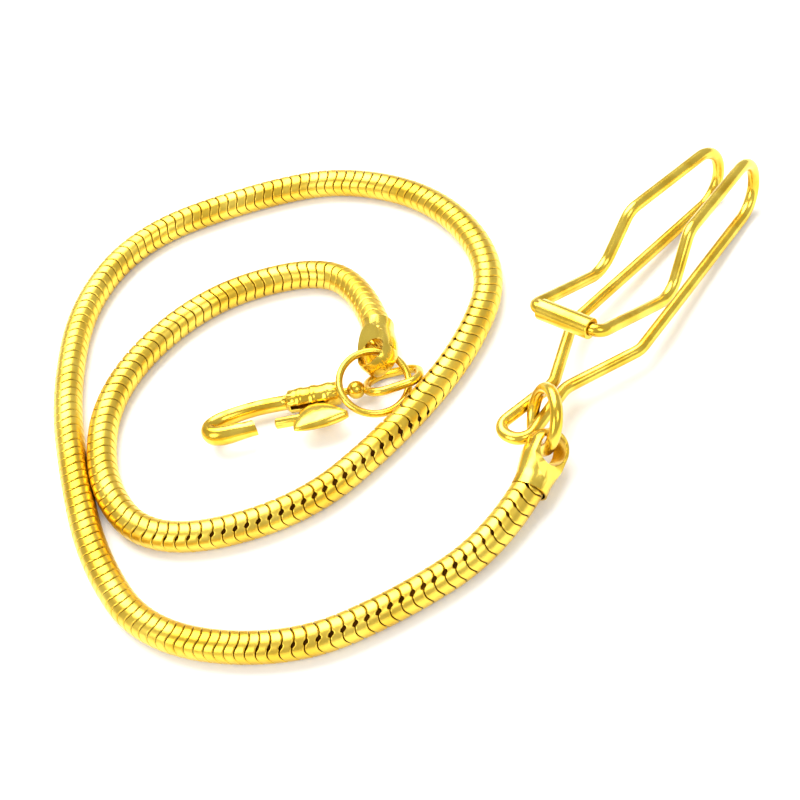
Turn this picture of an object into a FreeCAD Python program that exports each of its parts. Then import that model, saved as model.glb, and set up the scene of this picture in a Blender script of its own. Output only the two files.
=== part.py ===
import FreeCAD, Part
import math
import os
from FreeCAD import Vector

# Pocket watch chain: a round snake chain lying in two loose turns, a flattened end cap on
# each end, a bent wire garment clip on one cap and a swivel bolt clasp on the other.
# Millimetres, +Z up, the floor at z = 0, the origin under the middle of the object.

os.makedirs("parts", exist_ok=True)

# Snake chain
chain_d = 3.6
arc_share = 0.45          # share of the shorter run that each arc takes
route = [
    (-6.4, -36.1, 2.55), (-14.0, -37.1, 1.8), (-25.0, -33.5, 1.8), (-36.5, -26.5, 1.8),
    (-43.5, -11.5, 1.8), (-39.5, 2.0, 1.8), (-31.5, 14.5, 1.8), (-23.5, 25.0, 1.8),
    (-11.0, 35.5, 1.8), (2.5, 37.5, 1.8), (15.5, 28.0, 1.8), (24.0, 18.0, 1.8),
    (26.0, 2.5, 1.8), (19.0, -12.0, 1.8), (6.5, -17.0, 1.8), (-8.5, -17.5, 1.8),
    (-22.5, -15.0, 1.8), (-34.5, -3.0, 1.8), (-31.5, 10.0, 1.8), (-20.0, 20.5, 1.8),
    (-3.5, 20.5, 1.8), (8.0, 11.0, 1.8), (9.0, 2.0, 1.8), (2.45, -6.7, 3.4),
]

# End caps: a round cup for the chain, flattened to a drilled tab
cup_clear = 0.05
cup_wall = 0.2
cap_d = chain_d + 2 * (cup_clear + cup_wall)
cup_depth = 1.5
cap_round = 1.2           # length that stays round before the cap widens
cap_flat_from = 1.4       # where the flats begin to cut in
cap_flat_start = 3.6      # where the flats reach their full depth
cap_tab_t = 2.4
cap_tab_w = 4.9
cap_hole_x = 5.15
ring_play = 1.1           # play of the clip's ring in the tab's hole, each side
cap_tip_wall = 0.55
cap_edge = 0.1

clip_cap_at = Vector(-7.53, -36.45, 2.4)
clip_cap_heading = 11.3
clip_cap_pitch = 10.4
clip_cap_bore_tilt = 31.6   # elevation of the bore's axis
clasp_cap_at = Vector(3.21, -5.84, 3.36)
clasp_cap_heading = 221.1
clasp_cap_pitch = 2.1
clasp_cap_bore_tilt = 62.8

# Rings
clip_ring_wire = 1.4
cap_hole_d = clip_ring_wire + 2 * ring_play
clip_ring_r = 3.385
clip_ring_at = Vector(-0.139, -33.709, 4.982)
clip_ring_axis = Vector(0.680, -0.565, -0.467)
clasp_ring_wire = 0.88
clasp_ring_r = 4.1
clasp_ring_at = Vector(-3.586, -10.826, 2.722)
clasp_ring_axis = Vector(-0.034, -0.398, 0.917)

# Garment clip: one wire, symmetrical about its middle, in its own frame with the neck at
# the origin, x to the hairpin and z up. Each corner is x, y, z and its bend radius. The eye
# hangs off the ring's wire: the clip moves with both wires along clip_link_dir.
wire_d = 1.45
clip_link_clear = 0.047
clip_link_dir = Vector(0.107, 0.979, -0.176)
clip_seat = Vector(5.793, -32.401, 3.180)
clip_at = clip_seat + clip_link_dir * ((clip_ring_wire + wire_d) / 2 + clip_link_clear)
clip_pitch = 3.69
hairpin_h = 7.2
clip_corners = [
    (-9.273, 2.168, 0.353, 1.75),
    (0.0, 0.8, 0.0, 3.0),
    (9.1, 4.75, 0.0, 3.0),
    (37.4, 2.45, 0.0, 3.55),
    (37.4, 2.45, hairpin_h, 3.55),
    (21.3, 4.05, 8.05, 2.5),
    (15.6, 4.75, 2.75, 3.5),
    (2.9, 4.6, 7.85, 1.15),
]
wire_end_gap = 0.4
sleeve_d = 2.45
sleeve_l = 6.8
sleeve_clear = 0.02

# Swivel clasp, in its own frame with the ball at the origin, x towards the hook, y towards
# the bolt and z up; the whole clasp leans about x.
clasp_at = Vector(-4.9, -8.7, 1.62)
clasp_heading = 130.75
clasp_pitch = 0.0
clasp_roll = 13.0
stem_d = 0.9
stem_clear = 0.04
ball_r = 1.1
eye_wire = 1.05
eye_half_l = 3.22
eye_back_w = 3.0          # half width that the loop's sides aim at beside the ball
eye_front_w = 2.1
eye_back_r = 2.3
eye_front_r = 1.85
eye_link_clear = 0.32
eye_link_dir = Vector(0.189, -0.620, 0.761)
eye_seat = Vector(-1.893, -11.075, 0.703)
eye_at = eye_seat + eye_link_dir * ((clasp_ring_wire + eye_wire) / 2 + eye_link_clear)
eye_heading = -43.0
eye_pitch = 0.8
eye_roll = -25.4
barrel_x0 = 1.9
barrel_x1 = 8.5
barrel_r = 1.42
rib_r = 1.52
rib_at = (3.38, 5.07, 6.73)
rib_half = 0.55
shank_r = 0.93
hook_stations = [          # x, y, half across, half upright
    (barrel_x1 - 1.0, 0.0, 0.93, 0.931), (9.5, 0.0, 0.93, 0.931), (11.5, 0.06, 0.93, 0.935),
    (13.4, 0.33, 0.93, 0.95), (15.2, 0.84, 0.95, 1.0), (16.4, 1.35, 0.98, 1.06),
    (17.23, 1.98, 1.0, 1.12), (17.72, 2.75, 1.0, 1.17), (17.66, 3.62, 1.0, 1.2),
    (17.1, 4.27, 1.0, 1.22), (16.2, 4.55, 1.0, 1.22), (15.0, 4.52, 0.98, 1.18),
    (13.8, 4.36, 0.95, 1.08), (12.6, 4.2, 0.93, 0.98), (11.0, 4.1, 0.93, 0.931),
]
pocket_x1 = 3.5
pocket_d = 1.9
collar_l = 0.55
head_d = 1.6
head_l = 0.5
slide_clear = 0.25        # between the barrel's ribs and the thumb slide
slide_stations = [         # x, inset from the clearance, outer edge, half upright
    (0.7, 2.6, 5.1, 0.4), (1.8, 1.6, 5.6, 0.8), (3.4, 0.35, 6.1, 1.0), (4.6, 0.0, 6.25, 1.0),
    (5.6, 0.1, 6.3, 0.9), (6.4, 0.8, 6.3, 0.7), (7.1, 2.4, 6.1, 0.3),
]
bolt_y = 4.1
bolt_d = 1.3
bolt_x0 = 1.9             # inside the grip, clear of the ring
bolt_tip = 9.45
nose_x = 12.0
nose_lean = 25.0
slot_x = (3.7, 7.9)
slot_w = 0.55
slot_clear = 0.06
track_y = 0.45
track_d = 1.0
fin_x = (3.8, 5.6)


def axes_matrix(origin, x_dir, z_hint):
    # Frame at origin with x along x_dir and z as near z_hint as that allows.
    x = Vector(x_dir).normalize()
    y = Vector(z_hint).cross(x).normalize()
    z = x.cross(y)
    return FreeCAD.Matrix(x.x, y.x, z.x, origin.x, x.y, y.y, z.y, origin.y,
                          x.z, y.z, z.z, origin.z, 0, 0, 0, 1)


def place(shape, origin, x_dir, z_hint=Vector(0, 0, 1)):
    placed = shape.copy()
    placed.Placement = FreeCAD.Placement(axes_matrix(origin, x_dir, z_hint))
    return placed


def heading(degrees, pitch=0.0):
    h = math.radians(degrees)
    p = math.radians(pitch)
    return Vector(math.cos(p) * math.cos(h), math.cos(p) * math.sin(h), math.sin(p))


def cylinder_x(radius, x0, x1, y=0.0, z=0.0):
    return Part.makeCylinder(radius, x1 - x0, Vector(x0, y, z), Vector(1, 0, 0))


def ellipse_at(centre, normal, half_y, half_z):
    # Closed elliptical section across normal, half_z upright and half_y across.
    side = Vector(0, 0, 1).cross(normal).normalize()
    if half_y >= half_z:
        edge = Part.Ellipse(centre + side * half_y, centre + Vector(0, 0, half_z), centre)
    else:
        edge = Part.Ellipse(centre + Vector(0, 0, half_z), centre + side * half_y, centre)
    return Part.Wire([edge.toShape()])


def filleted_path(points, radii):
    # Straight runs joined by tangent arcs. Returns the wire and each corner's radius.
    edges = []
    start = points[0]
    for i in range(1, len(points) - 1):
        back = (points[i - 1] - points[i]).normalize()
        ahead = (points[i + 1] - points[i]).normalize()
        half_turn = (math.pi - back.getAngle(ahead)) / 2
        setback = radii[i - 1] * math.tan(half_turn)
        first = points[i] + back * setback
        last = points[i] + ahead * setback
        inward = (back + ahead).normalize()
        centre_gap = radii[i - 1] / math.cos(half_turn)
        middle = points[i] + inward * (centre_gap - radii[i - 1])
        if (first - start).Length > 1e-4:
            edges.append(Part.LineSegment(start, first).toShape())
        edges.append(Part.Arc(first, middle, last).toShape())
        start = last
    edges.append(Part.LineSegment(start, points[-1]).toShape())
    return Part.Wire(edges)


def route_radii(points, share):
    radii = []
    for i in range(1, len(points) - 1):
        back = points[i - 1] - points[i]
        ahead = points[i + 1] - points[i]
        half_turn = (math.pi - back.getAngle(ahead)) / 2
        radii.append(share * min(back.Length, ahead.Length) / math.tan(half_turn))
    return radii


def swept_round(path, diameter):
    first = path.Edges[0]
    start = first.valueAt(first.FirstParameter)
    along = first.tangentAt(first.FirstParameter)
    section = Part.Wire([Part.Circle(start, along, diameter / 2).toShape()])
    return path.makePipeShell([section], True, False)


# Snake chain: a plain round envelope along the route
route_points = [Vector(*p) for p in route]
radii = route_radii(route_points, arc_share)
chain_path = filleted_path(route_points, radii)
snake_chain = swept_round(chain_path, chain_d)
chain_box = snake_chain.optimalBoundingBox(False)
print("chain length", round(chain_path.Length, 1), "volume over section times length",
      round(snake_chain.Volume / (math.pi * chain_d ** 2 / 4 * chain_path.Length), 4))
print("chain radii", [round(r, 1) for r in radii], "tightest", round(min(radii), 1))
print("chain lowest", round(chain_box.ZMin, 3), "highest", round(chain_box.ZMax, 3))


# End cap: round cup, long flats, drilled tab with a round tip
def make_cap():
    tip_r = cap_hole_d / 2 + cap_tip_wall
    half_w = cap_tab_w / 2
    reach = cap_d
    profile = [(0, 0), (0, cap_d / 2), (cap_round, cap_d / 2), (cap_flat_start, half_w),
               (cap_hole_x, half_w)]
    corners = [Vector(x, y, 0) for x, y in profile]
    edges = [Part.LineSegment(p, q).toShape() for p, q in zip(corners, corners[1:])]
    diagonal = half_w * math.sqrt(0.5)
    end = Vector(cap_hole_x + half_w, 0, 0)
    edges.append(Part.Arc(corners[-1], Vector(cap_hole_x + diagonal, diagonal, 0), end).toShape())
    edges.append(Part.LineSegment(end, corners[0]).toShape())
    body = Part.Face(Part.Wire(edges)).revolve(Vector(0, 0, 0), Vector(1, 0, 0), 360)
    end_x = cap_hole_x + half_w + 1
    flats = [(-1, reach), (cap_flat_from, cap_d / 2 + 0.02), (cap_flat_start, cap_tab_t / 2),
             (end_x, cap_tab_t / 2), (end_x, -cap_tab_t / 2), (cap_flat_start, -cap_tab_t / 2),
             (cap_flat_from, -cap_d / 2 - 0.02), (-1, -reach), (-1, reach)]
    sides = Part.Face(Part.makePolygon([Vector(x, -reach, z) for x, z in flats]))
    body = body.common(sides.extrude(Vector(0, 2 * reach, 0)))
    round_tip = Part.makeCylinder(tip_r, 2 * reach, Vector(cap_hole_x, 0, -reach))
    back = Part.makeBox(cap_hole_x + 1, 2 * reach, 2 * reach, Vector(-1, -reach, -reach))
    body = body.common(back.fuse(round_tip))
    body = body.cut(Part.makeCylinder(cap_hole_d / 2, 2 * reach, Vector(cap_hole_x, 0, -reach)))
    for sign in (1, -1):
        mouth = Part.makeCone(cap_hole_d / 2 + cap_edge, cap_hole_d / 2, cap_edge,
                              Vector(cap_hole_x, 0, sign * cap_tab_t / 2), Vector(0, 0, -sign))
        body = body.cut(mouth)
    return body.cut(cylinder_x(chain_d / 2 + cup_clear, -1, cup_depth)).removeSplitter()


def bore_direction(axis, tilt):
    side = Vector(0, 0, 1).cross(axis).normalize()
    up = axis.cross(side)
    t = math.radians(tilt)
    return side * -math.cos(t) + up * math.sin(t)


cap = make_cap()
clip_cap_axis = heading(clip_cap_heading, clip_cap_pitch)
clip_bore = bore_direction(clip_cap_axis, clip_cap_bore_tilt)
end_cap_clip = place(cap, clip_cap_at, clip_cap_axis, clip_bore)
clasp_cap_axis = heading(clasp_cap_heading, clasp_cap_pitch)
clasp_bore = bore_direction(clasp_cap_axis, clasp_cap_bore_tilt)
end_cap_clasp = place(cap, clasp_cap_at, clasp_cap_axis, clasp_bore)

# Rings
clip_ring = Part.makeTorus(clip_ring_r, clip_ring_wire / 2, clip_ring_at, clip_ring_axis)
clasp_ring = Part.makeTorus(clasp_ring_r, clasp_ring_wire / 2, clasp_ring_at, clasp_ring_axis)

# Garment clip: one wire from inside the sleeve round the hairpins and the eye and back
sleeve_x, sleeve_y, sleeve_z, _ = clip_corners[-1]
right_side = [Vector(x, y, z) for x, y, z, _ in clip_corners]
left_side = [Vector(p.x, -p.y, p.z) for p in right_side]
end_right = Vector(sleeve_x, wire_end_gap / 2, sleeve_z)
end_left = Vector(sleeve_x, -wire_end_gap / 2, sleeve_z)
bends = [c[3] for c in clip_corners]
wire_points = [end_left] + left_side[::-1] + right_side + [end_right]
wire_path = filleted_path(wire_points, bends[::-1] + bends)
clip_wire_local = swept_round(wire_path, wire_d)
sleeve_local = Part.makeCylinder(sleeve_d / 2, sleeve_l, Vector(sleeve_x, -sleeve_l / 2, sleeve_z),
                                 Vector(0, 1, 0))
sleeve_local = sleeve_local.cut(Part.makeCylinder(wire_d / 2 + sleeve_clear, sleeve_l + 2,
                                Vector(sleeve_x, -sleeve_l / 2 - 1, sleeve_z), Vector(0, 1, 0)))
clip_axis = heading(0.0, -clip_pitch)
clip_wire = place(clip_wire_local, clip_at, clip_axis)
clip_sleeve = place(sleeve_local, clip_at, clip_axis)


# Swivel clasp
def in_clasp(shape):
    x = heading(clasp_heading, clasp_pitch)
    side = Vector(0, 0, 1).cross(x).normalize()
    up = x.cross(side)
    r = math.radians(clasp_roll)
    return place(shape, clasp_at, x, up * math.cos(r) - side * math.sin(r))


# Hook body: ribbed barrel, shank and hook in one casting, with the thumb slide's slot
def make_hook_body():
    profile = [Vector(barrel_x0, 0, 0), Vector(barrel_x0, barrel_r - 0.25, 0),
               Vector(barrel_x0 + 0.25, barrel_r, 0)]
    for x in rib_at:
        profile += [Vector(x - rib_half, barrel_r, 0), Vector(x - rib_half * 0.4, rib_r, 0),
                    Vector(x + rib_half * 0.4, rib_r, 0), Vector(x + rib_half, barrel_r, 0)]
    profile += [Vector(barrel_x1 - 0.45, barrel_r, 0), Vector(barrel_x1, shank_r + 0.1, 0),
                Vector(barrel_x1, 0, 0), Vector(barrel_x0, 0, 0)]
    barrel = Part.Face(Part.makePolygon(profile)).revolve(Vector(0, 0, 0), Vector(1, 0, 0), 360)
    sections = []
    centres = [Vector(x, y, 0) for x, y, _, _ in hook_stations]
    guide = Part.BSplineCurve()
    guide.interpolate(centres)
    for centre, station in zip(centres, hook_stations):
        along = guide.tangent(guide.parameter(centre))[0]
        sections.append(ellipse_at(centre, along, station[2], station[3]))
    hook = Part.Wire([guide.toShape()]).makePipeShell(sections, True, False)
    nose = Part.makeBox(6, 6, 6, Vector(-6, -3, -3))
    nose.rotate(Vector(0, 0, 0), Vector(0, 0, 1), nose_lean)
    nose.translate(Vector(nose_x, bolt_y, 0))
    keep = Part.makeBox(20, 3, 6, Vector(0, -1.5, -3))
    hook = hook.cut(nose.cut(keep))
    body = barrel.fuse(hook)
    body = body.cut(cylinder_x(pocket_d / 2, barrel_x0 - 0.1, pocket_x1))
    slot = Part.makeBox(slot_x[1] - slot_x[0], 3, slot_w, Vector(slot_x[0], track_y, -slot_w / 2))
    track = cylinder_x(track_d / 2, slot_x[0], slot_x[1], track_y)
    return body.cut(slot).cut(track).removeSplitter()


hook_body_local = make_hook_body()
collar_local = cylinder_x(pocket_d / 2, barrel_x0, barrel_x0 + collar_l)
collar_local = collar_local.cut(cylinder_x(stem_d / 2 + stem_clear, 0, pocket_x1))
hook_body = in_clasp(hook_body_local)
swivel_collar = in_clasp(collar_local)

# Swivel eye: tapered oval loop, ball and stem; its rivet head turns inside the barrel
head_x = barrel_x0 + collar_l + stem_clear
stem = in_clasp(cylinder_x(stem_d / 2, 0, head_x + head_l))
ball = in_clasp(Part.makeSphere(ball_r))
side_middle = Vector(0, (eye_back_w + eye_front_w) / 2, 0)
loop_corners = [Vector(-eye_half_l, eye_back_w, 0), Vector(-eye_half_l, -eye_back_w, 0),
                Vector(eye_half_l, -eye_front_w, 0), Vector(eye_half_l, eye_front_w, 0)]
loop_bends = [eye_back_r, eye_back_r, eye_front_r, eye_front_r]
loop_path = filleted_path([side_middle] + loop_corners + [side_middle], loop_bends)
loop = swept_round(loop_path, eye_wire)
eye_axis = heading(eye_heading, eye_pitch)
eye_side = Vector(0, 0, 1).cross(eye_axis).normalize()
eye_up = eye_axis.cross(eye_side)
eye_lean = math.radians(eye_roll)
loop = place(loop, eye_at, eye_axis, eye_up * math.cos(eye_lean) - eye_side * math.sin(eye_lean))
swivel_eye = loop.fuse([ball, stem]).removeSplitter()
head_local = cylinder_x(head_d / 2, head_x, head_x + head_l)
head_local = head_local.cut(cylinder_x(stem_d / 2, 0, pocket_x1 + 1))
swivel_head = in_clasp(head_local)


# Thumb slide: boat-shaped grip with a fin and bead that run in the barrel, and the bolt
def make_thumb_slide():
    inner = rib_r + slide_clear
    sections = []
    for x, inset, outer, half_z in slide_stations:
        middle = (inner + inset + outer) / 2
        half_y = (outer - inner - inset) / 2
        sections.append(ellipse_at(Vector(x, middle, 0), Vector(1, 0, 0), half_y, half_z))
    grip = Part.makeLoft(sections, True)
    fin = Part.makeBox(fin_x[1] - fin_x[0], bolt_y - track_y, slot_w - 2 * slot_clear,
                       Vector(fin_x[0], track_y, -slot_w / 2 + slot_clear))
    bead = cylinder_x(track_d / 2 - slot_clear, fin_x[0], fin_x[1], track_y)
    slide = grip.fuse([fin, bead]).removeSplitter()
    return slide.cut(cylinder_x(bolt_d / 2, bolt_x0, bolt_tip, bolt_y))


def make_bolt():
    rod = cylinder_x(bolt_d / 2, bolt_x0, bolt_tip, bolt_y)
    rim = [e for e in rod.Edges if e.Length > 3 and abs(e.CenterOfMass.x - bolt_tip) < 0.01]
    return rod.makeChamfer(0.12, rim)


thumb_slide = in_clasp(make_thumb_slide())
bolt_pin = in_clasp(make_bolt())

nodes = {
    "snake_chain": snake_chain,
    "end_cap_clip": end_cap_clip,
    "end_cap_clasp": end_cap_clasp,
    "clip_ring": clip_ring,
    "clip_wire": clip_wire,
    "clip_sleeve": clip_sleeve,
    "clasp_ring": clasp_ring,
    "swivel_eye": swivel_eye,
    "swivel_head": swivel_head,
    "swivel_collar": swivel_collar,
    "hook_body": hook_body,
    "thumb_slide": thumb_slide,
    "bolt_pin": bolt_pin,
}

for name, shape in nodes.items():
    box = shape.optimalBoundingBox(False)
    print(name, "valid", shape.isValid(), "solids", len(shape.Solids), "lowest", round(box.ZMin, 2))
    shape.exportStep("parts/" + name + ".step")
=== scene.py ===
import bpy
import math
from bisect import bisect_left
from mathutils import Matrix, Vector


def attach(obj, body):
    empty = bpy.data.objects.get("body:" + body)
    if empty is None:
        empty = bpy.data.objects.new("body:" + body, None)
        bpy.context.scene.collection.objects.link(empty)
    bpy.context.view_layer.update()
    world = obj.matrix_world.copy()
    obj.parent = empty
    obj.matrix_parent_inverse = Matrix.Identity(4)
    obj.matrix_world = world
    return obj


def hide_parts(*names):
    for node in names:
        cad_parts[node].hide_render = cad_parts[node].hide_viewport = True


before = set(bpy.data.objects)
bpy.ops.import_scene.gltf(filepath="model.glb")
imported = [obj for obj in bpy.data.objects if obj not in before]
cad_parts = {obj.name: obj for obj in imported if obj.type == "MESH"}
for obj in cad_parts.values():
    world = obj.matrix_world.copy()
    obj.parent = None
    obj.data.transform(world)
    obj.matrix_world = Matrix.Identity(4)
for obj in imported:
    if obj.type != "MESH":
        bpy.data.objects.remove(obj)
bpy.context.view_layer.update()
print("frame loaded", sorted(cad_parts))


def metres(millimetres):
    return millimetres / 1000


def mm(x, y, z):
    return Vector((x, y, z)) / 1000


def addToScene(piece):
    bpy.context.scene.collection.objects.link(piece)
    return piece


def copyPiece(piece):
    copy = piece.copy()
    copy.data = piece.data.copy()
    return addToScene(copy)


def clearSelection():
    bpy.ops.object.select_all(action="DESELECT")


def editAll(piece):
    clearSelection()
    piece.select_set(True)
    bpy.context.view_layer.objects.active = piece
    bpy.ops.object.mode_set(mode="EDIT")
    bpy.ops.mesh.select_all(action="SELECT")


def endEdit():
    bpy.ops.object.mode_set(mode="OBJECT")


# The photograph's viewpoint in mm: a long lens above the front left, rolled to one side
cameraView = {
    "place": (-76.66, -115.84, 130.87),
    "target": (-2.74, -13.33, 0.0),   # the spot on the floor in the middle of the picture
    "rollDegrees": -20.0,
    "lens": 69.53,
    "sensorWidth": 36,
}


def addCamera(view):
    data = bpy.data.cameras.new("camera")
    data.lens = view["lens"]
    data.sensor_width = view["sensorWidth"]
    camera = addToScene(bpy.data.objects.new("camera", data))
    place = mm(*view["place"])
    aim = (mm(*view["target"]) - place).to_track_quat("-Z", "Y").to_matrix().to_4x4()
    roll = Matrix.Rotation(math.radians(view["rollDegrees"]), 4, "Z")
    camera.matrix_world = Matrix.Translation(place) @ aim @ roll
    bpy.context.scene.camera = camera


addCamera(cameraView)
print("camera placed")


def toLinear(hexColour):
    # a hex colour as the shaders take it: linear, with its alpha
    parts = [int(hexColour[i:i + 2], 16) / 255 for i in (1, 3, 5)]
    return [c / 12.92 if c <= 0.04045 else ((c + 0.055) / 1.055) ** 2.4 for c in parts] + [1.0]


def emptyTree(owner):
    # the node tree of a material or of the world, with nothing in it
    owner.use_nodes = True
    owner.node_tree.nodes.clear()
    return owner.node_tree


def addNode(tree, kind, settings=None, links=None):
    # settings go to inputs by name or number, or to the node itself after a dot
    node = tree.nodes.new(kind)
    for key, value in (settings or {}).items():
        if isinstance(key, str) and key.startswith("."):
            setattr(node, key[1:], value)
        else:
            node.inputs[key].default_value = value
    for key, source in (links or {}).items():
        tree.links.new(source, node.inputs[key])
    return node


# Gold-tone plate on brass, polished: warm yellow, faintly clouded where fingers have been, with
# hairline marks that soften its reflections and painted brown shade darkening the creases.
goldLook = {
    # the brown below is painted shade, laid where other surfaces are near
    "light": "#F4D458", "deep": "#DFB636", "creviceShade": "#6B4308",
    "cloudMm": 3.0, "cloudDetail": 3.0, "deepUpTo": 0.35, "lightFrom": 0.62,
    "hairlineMm": 0.35,   # real ones are far finer: this is as coarse as they need to show
    "hairlineDetail": 4.0, "hairlineRoughness": 0.6,
    "roughLow": 0.20, "roughHigh": 0.26, "bump": 0.008, "bumpMm": 0.05,
    "creviceMm": 0.8, "creviceShare": 0.55, "creviceRays": 8, "shutBelow": 0.25, "openAbove": 0.85,
}
# the links rub on each other, so they are a little duller, and painted shade darkens them between
linkLook = dict(goldLook, cloudMm=6.0, roughLow=0.26, roughHigh=0.36, creviceMm=0.3,
                creviceShare=0.8)
# the chain's core is never polished: dark brown, painted shade for the chain's hollow inside, seen
# in the gaps
shadeCoreLook = dict(goldLook, light="#4A2A06", deep="#2C1703", roughLow=0.35, roughHigh=0.5,
                creviceMm=0.0)
# a mix node's colour sockets share their names with its others, so they go by number
mixFactor, mixFirst, mixSecond, mixResult = 0, 6, 7, 2


# painted shade: the colour turns brown where ambient occlusion finds other surfaces near
def paintCreviceShade(tree, look, colour):
    hollow = addNode(tree, "ShaderNodeAmbientOcclusion",
                     {"Distance": metres(look["creviceMm"]), ".samples": look["creviceRays"]})
    share = addNode(tree, "ShaderNodeMapRange",
                    {"From Min": look["shutBelow"], "From Max": look["openAbove"],
                     "To Min": look["creviceShare"], "To Max": 0.0},
                    {"Value": hollow.outputs["AO"]})
    shadedTone = addNode(tree, "ShaderNodeMix",
                        {".data_type": "RGBA", mixSecond: toLinear(look["creviceShade"])},
                        {mixFactor: share.outputs["Result"], mixFirst: colour})
    return shadedTone.outputs[mixResult]


def goldPlate(name, look):
    material = bpy.data.materials.new(name)
    tree = emptyTree(material)
    place = addNode(tree, "ShaderNodeTexCoord")
    inMm = addNode(tree, "ShaderNodeMapping", {"Scale": (1000, 1000, 1000)},
                   {"Vector": place.outputs["Object"]})
    cloud = addNode(tree, "ShaderNodeTexNoise",
                    {"Scale": 1 / look["cloudMm"], "Detail": look["cloudDetail"]},
                    {"Vector": inMm.outputs["Vector"]})
    hairline = addNode(tree, "ShaderNodeTexNoise",
                       {"Scale": 1 / look["hairlineMm"], "Detail": look["hairlineDetail"],
                        "Roughness": look["hairlineRoughness"]},
                       {"Vector": inMm.outputs["Vector"]})
    tone = addNode(tree, "ShaderNodeValToRGB", None, {"Fac": cloud.outputs["Fac"]})
    deepStop, lightStop = tone.color_ramp.elements
    deepStop.position = look["deepUpTo"]
    deepStop.color = toLinear(look["deep"])
    lightStop.position = look["lightFrom"]
    lightStop.color = toLinear(look["light"])
    colour = tone.outputs["Color"]
    # painted shade in the creases and between parts
    if look["creviceMm"]:
        colour = paintCreviceShade(tree, look, colour)
    rough = addNode(tree, "ShaderNodeMapRange",
                    {"To Min": look["roughLow"], "To Max": look["roughHigh"]},
                    {"Value": hairline.outputs["Fac"]})
    bump = addNode(tree, "ShaderNodeBump",
                   {"Strength": look["bump"], "Distance": metres(look["bumpMm"])},
                   {"Height": hairline.outputs["Fac"]})
    shader = addNode(tree, "ShaderNodeBsdfPrincipled", {"Metallic": 1.0},
                     {"Base Color": colour, "Roughness": rough.outputs["Result"],
                      "Normal": bump.outputs["Normal"]})
    addNode(tree, "ShaderNodeOutputMaterial", None, {"Surface": shader.outputs["BSDF"]})
    return material


fittingGold = goldPlate("goldPlatedBrass", goldLook)
linkGold = goldPlate("goldPlatedLinks", linkLook)
# the core's material is painted shade for the chain's hollow inside
shadeCoreGold = goldPlate("paintedShadeCore", shadeCoreLook)
print("materials made")


def dressPiece(piece, node, body, material):
    piece.data.materials.clear()
    piece.data.materials.append(material)
    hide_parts(node)
    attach(piece, body)


# Snake chain, in mm: a dark core of painted shade along the route and a wavy link every pitch,
# each a flat band with a fine dark line of that painted shade to its neighbour.
chainParts = {
    "coreRadius": 1.56, "coreRoundness": 4, "routeOrder": 3, "routeSteps": 24,
    "firstLinkAt": 0.1, "pitch": 1.31, "gap": 0.09, "around": 48, "seamDegrees": 5,
    "linkRadius": 1.79, "edgeRadius": 1.66, "edge": 0.09,
    "flatFrom": 0.07,   # from the edge to the ring that keeps the band between flat
    "wave": 0.28, "waves": 3, "notch": 0.28, "notchHalfTurn": 9.0, "notchPower": 4,
    # how far along the chain, and how far apart the links lie where it is stretched or pushed
    "pitches": [(0, 1.31), (30, 1.31), (36, 1.12), (50, 1.12), (60, 1.31), (184, 1.31),
                (192, 1.40), (206, 1.40), (214, 1.31), (320, 1.31)],
    # how far along the chain, where the row of gaps lies in degrees from the top, how open
    "gapLine": [(0, -22, 0.3), (10, -24, 0.6), (14, -25, 1.0), (27, -38, 1.0), (33, -42, 0.5),
                (38, -30, 0.0), (60, -24, 0.0), (120, -60, 0.0), (182, -96, 0.0),
                (190, -98, 0.7), (201, -96, 0.7), (207, -50, 1.0), (216, -38, 1.0),
                (229, -43, 0.8), (240, -44, 0.0), (320, -30, 0.0)],
    "route": [
        (-6.4, -36.1, 2.55), (-14.0, -37.1, 1.8), (-25.0, -33.5, 1.8), (-36.5, -26.5, 1.8),
        (-43.5, -11.5, 1.8), (-39.5, 2.0, 1.8), (-31.5, 14.5, 1.8), (-23.5, 25.0, 1.8),
        (-11.0, 35.5, 1.8), (2.5, 37.5, 1.8), (15.5, 28.0, 1.8), (24.0, 18.0, 1.8),
        (26.0, 2.5, 1.8), (19.0, -12.0, 1.8), (6.5, -17.0, 1.8), (-8.5, -17.5, 1.8),
        (-22.5, -15.0, 1.8), (-34.5, -3.0, 1.8), (-31.5, 10.0, 1.8), (-20.0, 20.5, 1.8),
        (-3.5, 20.5, 1.8), (8.0, 11.0, 1.8), (9.0, 2.0, 1.8), (2.45, -6.7, 3.4),
    ],
}


def addShadeCore(parts):
    # the dark core, painted shade inside the chain, and the points of its middle line
    data = bpy.data.curves.new("chainShadeCore", "CURVE")
    data.dimensions = "3D"
    data.resolution_u = parts["routeSteps"]
    spline = data.splines.new("NURBS")
    spline.points.add(len(parts["route"]) - 1)
    for point, place in zip(spline.points, parts["route"]):
        point.co = (*mm(*place), 1.0)
    spline.order_u = parts["routeOrder"]
    spline.use_endpoint_u = True
    core = addToScene(bpy.data.objects.new("chainShadeCore", data))
    bpy.context.view_layer.update()
    line = bpy.data.meshes.new_from_object(core)   # no bevel yet: the bare line
    points = [v.co.copy() for v in line.vertices]
    data.bevel_depth = metres(parts["coreRadius"])
    data.bevel_resolution = parts["coreRoundness"]
    data.use_fill_caps = True
    return core, points


def measureLine(points):
    # how far along the line each point lies
    distances = [0.0]
    for a, b in zip(points, points[1:]):
        distances.append(distances[-1] + (b - a).length)
    return distances


chainShadeCore, chainLine = addShadeCore(chainParts)
travelled = measureLine(chainLine)


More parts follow.
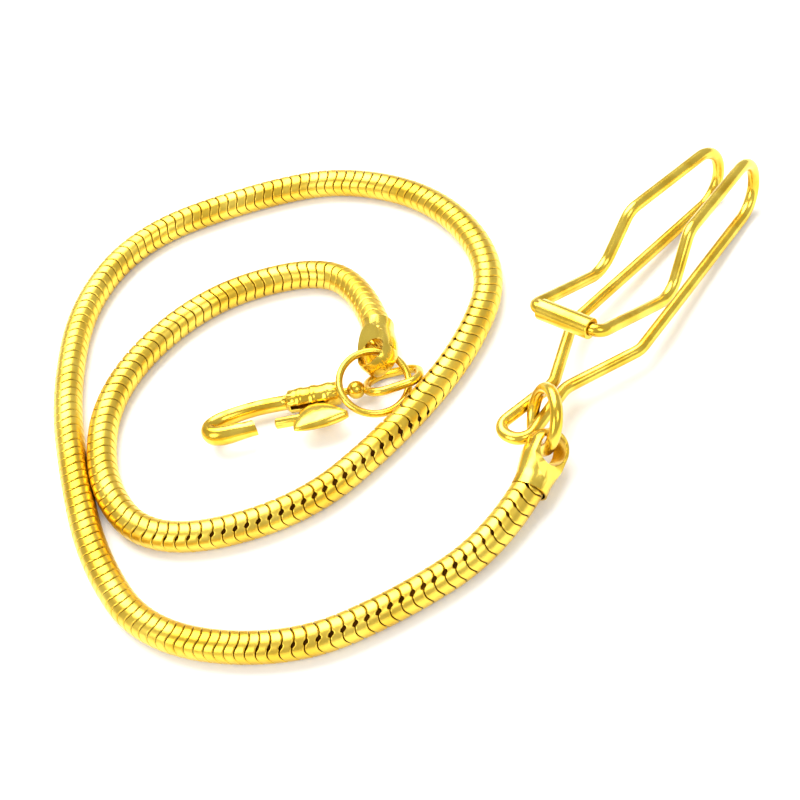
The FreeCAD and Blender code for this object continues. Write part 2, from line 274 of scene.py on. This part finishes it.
def alongChain(distance):
    # point, up and right of the chain's line that far from its start, in metres
    distance = min(max(distance, 0.0), travelled[-1] - 1e-6)   # a hair short of the end
    i = max(bisect_left(travelled, distance) - 1, 0)
    share = (distance - travelled[i]) / (travelled[i + 1] - travelled[i])
    here = chainLine[i + 1] - chainLine[i]
    before = chainLine[i] - chainLine[i - 1] if i else here
    after = chainLine[i + 2] - chainLine[i + 1] if i + 2 < len(chainLine) else here
    start = (before.normalized() + here.normalized()).normalized()
    end = (after.normalized() + here.normalized()).normalized()
    ahead = start.lerp(end, share).normalized()
    up = (Vector((0, 0, 1)) - ahead * ahead.z).normalized()
    return chainLine[i].lerp(chainLine[i + 1], share), up, ahead.cross(up)


def readAlong(table, distance):
    # what the table says that far along the chain, straight between its rows
    for (start, *low), (end, *high) in zip(table, table[1:]):
        if distance <= end:
            share = (distance - start) / (end - start)
            return [a + (b - a) * share for a, b in zip(low, high)]
    return table[-1][1:]


def pitchAt(parts, distance):
    return readAlong(parts["pitches"], distance)[0]


def makeLink(parts):
    # one link lying along z: a thin band with turned-in rims
    half = metres(parts["pitch"] - parts["gap"]) / 2
    edge = metres(parts["edge"])
    hold = metres(parts["flatFrom"])
    middle = 2 * (half - edge - hold)
    grow = parts["linkRadius"] / parts["edgeRadius"]
    clearSelection()
    bpy.ops.mesh.primitive_circle_add(
        vertices=parts["around"], radius=metres(parts["edgeRadius"]), fill_type="NOTHING",
        location=(0, 0, -half), rotation=(0, 0, math.radians(parts["seamDegrees"])))
    link = bpy.context.object
    bpy.ops.object.transform_apply(location=True, rotation=True, scale=True)
    editAll(link)
    bpy.ops.mesh.extrude_region_move(TRANSFORM_OT_translate={"value": (0, 0, edge)})
    bpy.ops.transform.resize(value=(grow, grow, 1))
    for rise in (hold, middle, hold, edge):
        bpy.ops.mesh.extrude_region_move(TRANSFORM_OT_translate={"value": (0, 0, rise)})
    bpy.ops.transform.resize(value=(1 / grow, 1 / grow, 1))
    bpy.ops.mesh.select_all(action="SELECT")
    bpy.ops.mesh.normals_make_consistent(inside=False)
    bpy.ops.mesh.faces_shade_smooth()
    endEdit()
    return link


def layLink(parts, link, middle):
    # the link's copy takes the wave, its notches and the chain's bend at its own place
    turnDegrees, openness = readAlong(parts["gapLine"], middle)
    turn = math.radians(turnDegrees)
    stretch = pitchAt(parts, middle) / parts["pitch"]
    waves = parts["waves"]
    reach = math.radians(parts["notchHalfTurn"])
    copy = copyPiece(link)
    for v in copy.data.vertices:
        radius = math.hypot(v.co.x, v.co.y)
        angle = math.atan2(v.co.y, v.co.x)
        phase = (angle + math.pi / waves) % (2 * math.pi / waves) - math.pi / waves
        bite = max(0.0, 1 - (phase / reach) ** parts["notchPower"])
        z = v.co.z * stretch - math.copysign(metres(parts["notch"]) * openness * bite, v.co.z)
        z -= metres(parts["wave"]) * math.sin(waves * angle)
        centre, up, right = alongChain(metres(middle) + z)
        v.co = centre + (up * math.cos(angle + turn) + right * math.sin(angle + turn)) * radius
    return copy


def layChain(parts):
    link = makeLink(parts)
    length = travelled[-1] * 1000
    copies = []
    reached = parts["firstLinkAt"]
    while reached + (step := pitchAt(parts, reached)) < length:
        copies.append(layLink(parts, link, reached + step / 2))
        reached += step
    print("chain laid with", len(copies), "links, line", round(length, 1), "mm")
    bpy.data.objects.remove(link)
    clearSelection()
    for copy in copies:
        copy.select_set(True)
    bpy.context.view_layer.objects.active = copies[0]
    bpy.ops.object.join()
    chain = bpy.context.object
    chain.name = "chainLinks"
    return chain


chainLinks = layChain(chainParts)
dressPiece(chainLinks, "snake_chain", "chain", linkGold)
# the dark core is painted shade for the chain's hollow inside
dressPiece(chainShadeCore, "snake_chain", "chain", shadeCoreGold)

# Fittings keep the frame's shape. Each has what plainFitting says, apart from its own row.
plainFitting = {"weldMm": 0.001, "bevelMm": 0.0, "bevelSteps": 2, "sharpDegrees": 32}
fittings = {
    "end_cap_clip": {"name": "capAtClip", "body": "chain", "sharpDegrees": 17},
    "end_cap_clasp": {"name": "capAtClasp", "body": "chain", "sharpDegrees": 17},
    "clip_ring": {"name": "clipRing", "body": "clip_link"},
    "clip_wire": {"name": "clipWire", "body": "clip"},
    "clip_sleeve": {"name": "clipSleeve", "body": "clip", "bevelMm": 0.1},
    "clasp_ring": {"name": "claspRing", "body": "clasp_link"},
    "swivel_eye": {"name": "swivelEye", "body": "swivel"},
    "swivel_head": {"name": "swivelHead", "body": "swivel"},
    "swivel_collar": {"name": "swivelCollar", "body": "clasp"},
    "hook_body": {"name": "hookBody", "body": "clasp", "sharpDegrees": 20},
    "thumb_slide": {"name": "thumbSlide", "body": "bolt"},
    "bolt_pin": {"name": "boltPin", "body": "bolt"},
}


def smoothCopy(node, fitting):
    # the node's copy with its seams merged, smooth across its curves
    piece = copyPiece(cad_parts[node])
    piece.name = fitting["name"]
    piece.parent = None
    piece.matrix_world = Matrix.Identity(4)
    editAll(piece)
    bpy.ops.mesh.remove_doubles(threshold=metres(fitting["weldMm"]))
    endEdit()
    sharp = math.radians(fitting["sharpDegrees"])
    if fitting["bevelMm"]:
        bevel = piece.modifiers.new("softEdge", "BEVEL")
        bevel.width = metres(fitting["bevelMm"])
        bevel.segments = fitting["bevelSteps"]
        bevel.limit_method = "ANGLE"
        bevel.angle_limit = sharp
        bpy.ops.object.modifier_apply(modifier=bevel.name)
    bpy.ops.object.shade_smooth_by_angle(angle=sharp)
    # flat walls keep one straight reflection, and only the curves between them turn it
    weighted = piece.modifiers.new("flatWalls", "WEIGHTED_NORMAL")
    weighted.keep_sharp = True
    bpy.ops.object.modifier_apply(modifier=weighted.name)
    return piece


for node, own in fittings.items():
    fitting = {**plainFitting, **own}
    piece = smoothCopy(node, fitting)
    dressPiece(piece, node, fitting["body"], fittingGold)
print("fittings copied")

# Floor, soft lamps and a plain white world
studio = {
    "floorMetres": 3.0, "floorColour": "#F2F2F2", "floorGlow": 0.12,
    "worldLight": 0.6, "worldSeen": 1.0,
    "lamps": {   # round, in mm and watts, and turned to the middle of the floor
        "topBox": {"place": (120, 200, 420), "size": 520, "watts": 4.0},
        "leftBox": {"place": (-420, 60, 260), "size": 260, "watts": 0.8},
        "frontBox": {"place": (-60, -380, 420), "size": 240, "watts": 0.6},
    },
}


def whitePaper(setup):
    # matt, with a faint glow where it is seen or mirrored
    paper = bpy.data.materials.new("whitePaper")
    tree = emptyTree(paper)
    ray = addNode(tree, "ShaderNodeLightPath")
    seen = addNode(tree, "ShaderNodeMath", {".operation": "MAXIMUM"},
                   {0: ray.outputs["Is Camera Ray"], 1: ray.outputs["Is Glossy Ray"]})
    strength = addNode(tree, "ShaderNodeMath", {".operation": "MULTIPLY", 1: setup["floorGlow"]},
                       {0: seen.outputs[0]})
    glow = addNode(tree, "ShaderNodeEmission", None, {"Strength": strength.outputs[0]})
    matt = addNode(tree, "ShaderNodeBsdfDiffuse", {"Color": toLinear(setup["floorColour"])})
    both = addNode(tree, "ShaderNodeAddShader", None,
                   {0: glow.outputs["Emission"], 1: matt.outputs["BSDF"]})
    addNode(tree, "ShaderNodeOutputMaterial", None, {"Surface": both.outputs["Shader"]})
    return paper


def addFloor(setup):
    bpy.ops.mesh.primitive_plane_add(size=setup["floorMetres"], location=(0, 0, 0))
    floor = bpy.context.object
    floor.name = "floor"
    floor.data.materials.append(whitePaper(setup))


def addLamp(name, setup):
    data = bpy.data.lights.new(name, "AREA")
    data.shape = "DISK"
    data.size = metres(setup["size"])
    data.energy = setup["watts"]
    lamp = addToScene(bpy.data.objects.new(name, data))
    lamp.location = mm(*setup["place"])
    lamp.rotation_euler = (-mm(*setup["place"])).to_track_quat("-Z", "Y").to_euler()


def addWorld(setup):
    world = bpy.data.worlds.new("studioWorld")
    bpy.context.scene.world = world
    tree = emptyTree(world)
    white = (1, 1, 1, 1)
    ray = addNode(tree, "ShaderNodeLightPath")
    light = addNode(tree, "ShaderNodeBackground", {"Color": white, "Strength": setup["worldLight"]})
    backdrop = addNode(tree, "ShaderNodeBackground",
                       {"Color": white, "Strength": setup["worldSeen"]})
    pick = addNode(tree, "ShaderNodeMixShader", None,
                   {0: ray.outputs["Is Camera Ray"], 1: light.outputs[0], 2: backdrop.outputs[0]})
    addNode(tree, "ShaderNodeOutputWorld", None, {"Surface": pick.outputs[0]})


addFloor(studio)
for name, lamp in studio["lamps"].items():
    addLamp(name, lamp)
addWorld(studio)
bpy.context.scene.view_settings.view_transform = "Standard"
print("studio set")
